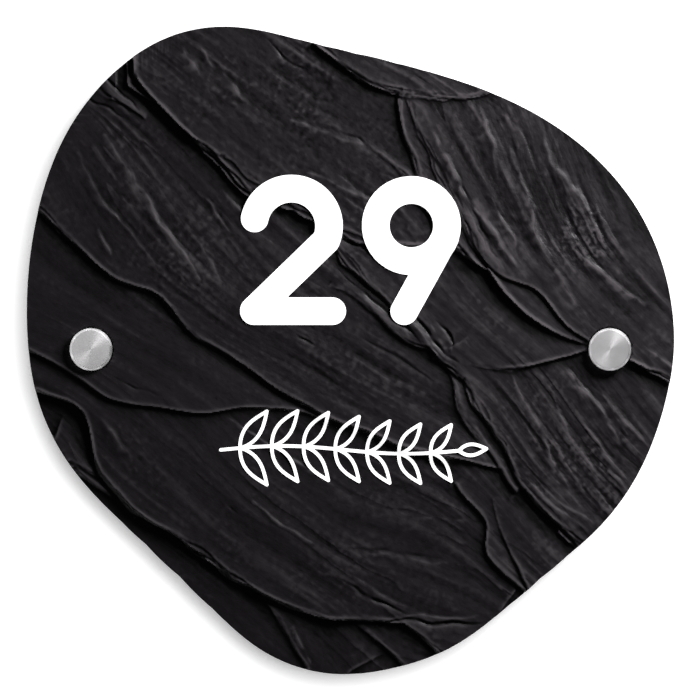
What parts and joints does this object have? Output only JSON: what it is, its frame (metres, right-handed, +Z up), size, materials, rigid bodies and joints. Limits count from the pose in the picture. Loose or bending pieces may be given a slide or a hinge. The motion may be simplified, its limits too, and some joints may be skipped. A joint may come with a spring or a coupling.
{
  "type": "door name plate",
  "caption": "Rounded, irregular door name plate of riven slate, held off the wall by turned steel standoffs with flat caps.",
  "frame": {"origin": "on the wall plane, midway between the axes of the two wall screws", "axes": "+X to the viewer's right, +Z up, +Y into the wall; the plate's front faces -Y"},
  "size_m": [0.1997, 0.0503, 0.1999],
  "materials": {
    "slate": "matte",
    "turned_steel": "satin",
    "soft_washer": "satin",
    "zinc_screw": "satin"
  },
  "bodies": {
    "root": {"slate_plate": "slate", "left_cap": "turned_steel", "right_cap": "turned_steel", "left_barrel": "turned_steel", "right_barrel": "turned_steel", "left_front_washer": "soft_washer", "right_front_washer": "soft_washer", "left_rear_washer": "soft_washer", "right_rear_washer": "soft_washer", "left_wall_screw": "zinc_screw", "right_wall_screw": "zinc_screw"}
  },
  "joints": []
}
